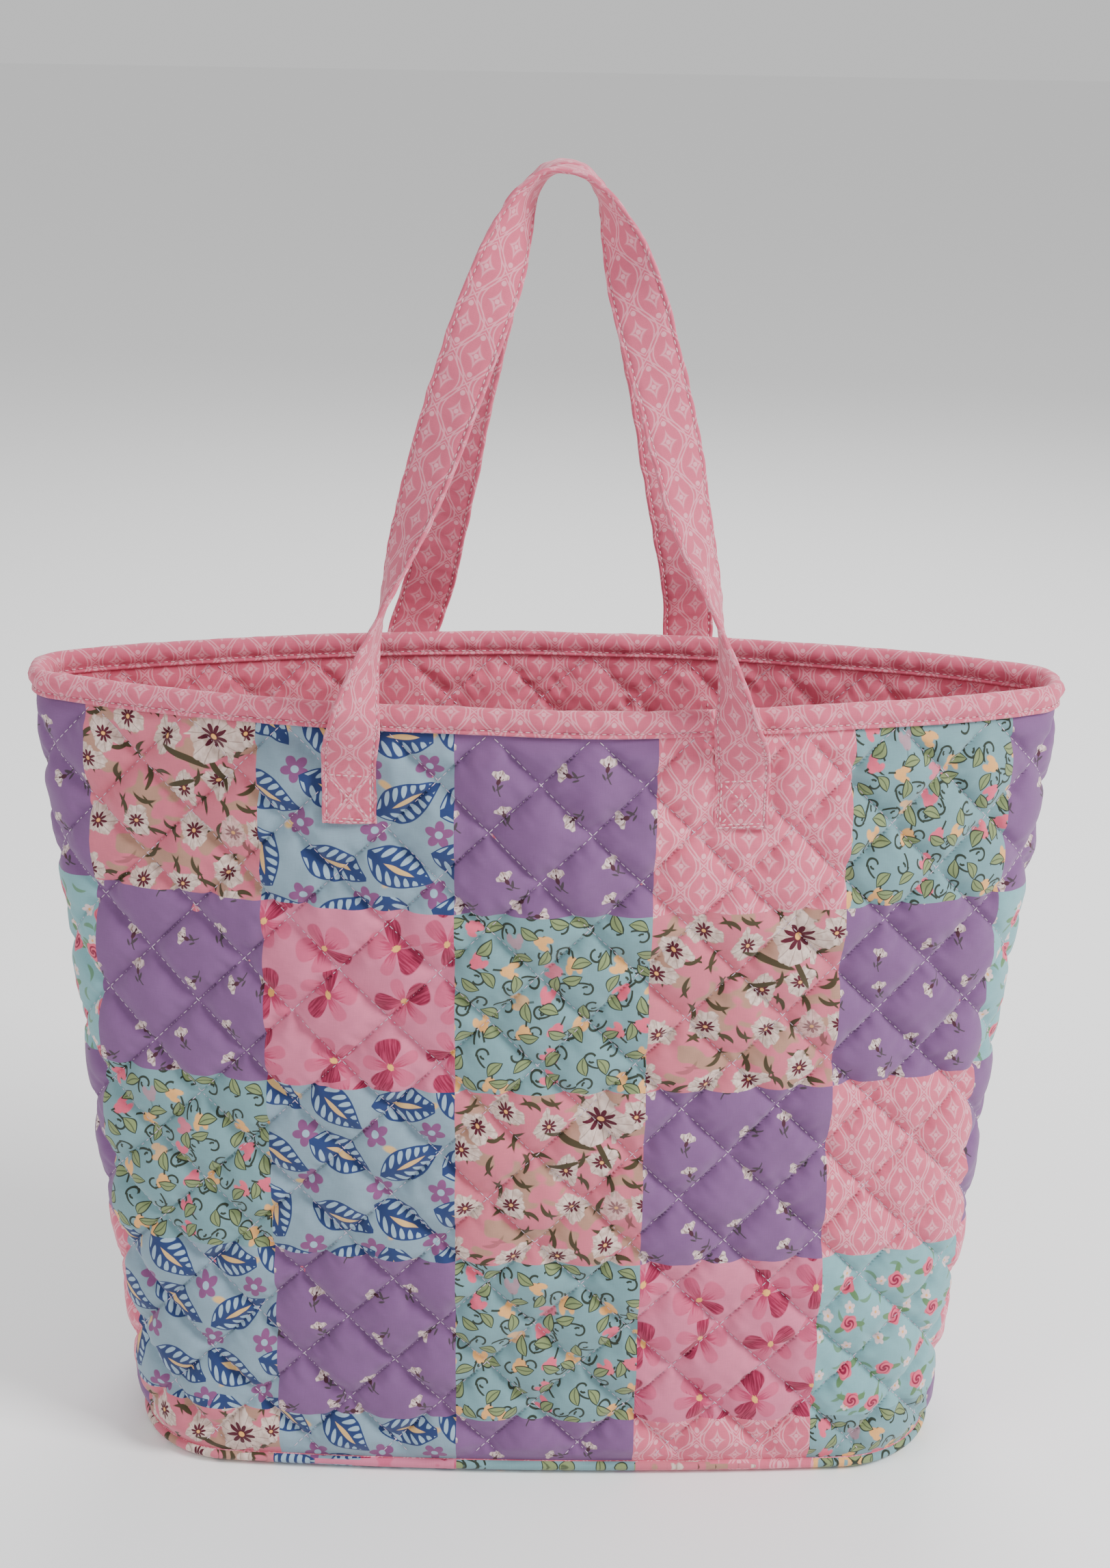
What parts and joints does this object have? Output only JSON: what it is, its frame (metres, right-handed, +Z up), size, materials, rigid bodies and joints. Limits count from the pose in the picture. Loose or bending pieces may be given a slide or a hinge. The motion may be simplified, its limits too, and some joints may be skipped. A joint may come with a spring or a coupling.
{
  "type": "quilted tote bag",
  "caption": "Quilted patchwork fabric tote bag with two sewn carrying handles, a bound open mouth and a soft flat base.",
  "frame": {"origin": "centre of the base's underside, where the bag stands", "axes": "+Z up, +X along the mouth's length to the right seen from the front, front panel facing -Y"},
  "size_m": [0.5424, 0.168, 0.708],
  "materials": {
    "print": "matte printed cotton",
    "pink": "matte printed cotton",
    "batting": "matte fibre",
    "tape": "matte cotton tape",
    "thread": "spun thread"
  },
  "bodies": {
    "bag": {"outer_front": "print", "outer_back": "print", "outer_base": "print", "batting_front": "batting", "batting_back": "batting", "batting_base": "batting", "lining_front": "pink", "lining_back": "pink", "lining_base": "pink", "rim_binding": "pink", "side_seam_tape_left": "tape", "side_seam_tape_right": "tape", "base_seam_tape": "tape", "strap_end_front_left": "pink", "strap_end_front_right": "pink", "strap_end_back_left": "pink", "strap_end_back_right": "pink", "box_stitching_front_left": "thread", "box_stitching_front_right": "thread", "box_stitching_back_left": "thread", "box_stitching_back_right": "thread"},
    "handle_front": {"handle_sleeve_front": "pink", "handle_core_front": "batting"},
    "handle_back": {"handle_sleeve_back": "pink", "handle_core_back": "batting"}
  },
  "joints": [
    {"name": "handle_front_fold", "type": "hinge", "parent": "bag", "child": "handle_front", "pos_m": [0, -0.07168, 0.41725], "axis": [1, 0, 0], "range_deg": [0, 175]},
    {"name": "handle_back_fold", "type": "hinge", "parent": "bag", "child": "handle_back", "pos_m": [0, 0.07372, 0.41725], "axis": [-1, 0, 0], "range_deg": [0, 175]}
  ]
}
